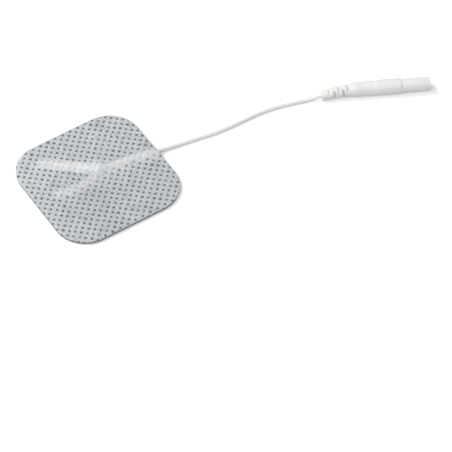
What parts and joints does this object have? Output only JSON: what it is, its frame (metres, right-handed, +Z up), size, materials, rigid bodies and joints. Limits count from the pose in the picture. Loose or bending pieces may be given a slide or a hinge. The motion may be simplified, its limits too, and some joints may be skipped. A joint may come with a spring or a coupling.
{
  "type": "stimulation electrode pad",
  "caption": "Square self-adhesive gel electrode with a dimpled nonwoven back, a captive lead and a 2 mm socket connector on its end.",
  "frame": {"origin": "middle of the pad on its gel face, which is the surface that the part lies on", "axes": "+Z up through the pad, from the gel face to the nonwoven back; +X towards the edge that the lead leaves"},
  "size_m": [0.1529, 0.0561, 0.0057],
  "materials": {
    "nonwoven": "pale grey spunbonded nonwoven with dark pressed bond points",
    "carbon_film": "matt black carbon-loaded film",
    "hydrogel": "tacky translucent hydrogel, faintly grey over the film",
    "tinned_strand": "fine tinned copper strands",
    "lead_jacket": "soft off-white jacket with a low sheen",
    "boot_plastic": "soft off-white overmould with a satin face",
    "housing_plastic": "off-white moulded plastic with a satin face",
    "nickel_plate": "nickel-plated turned brass"
  },
  "bodies": {
    "root": {"fabric_backing": "nonwoven", "carbon_film": "carbon_film", "hydrogel_pad": "hydrogel", "long_strands": "tinned_strand", "short_strands": "tinned_strand", "lead_wire": "lead_jacket", "strain_relief_boot": "boot_plastic", "socket_housing": "housing_plastic", "contact_socket": "nickel_plate", "crimped_wire": "tinned_strand"}
  },
  "joints": []
}
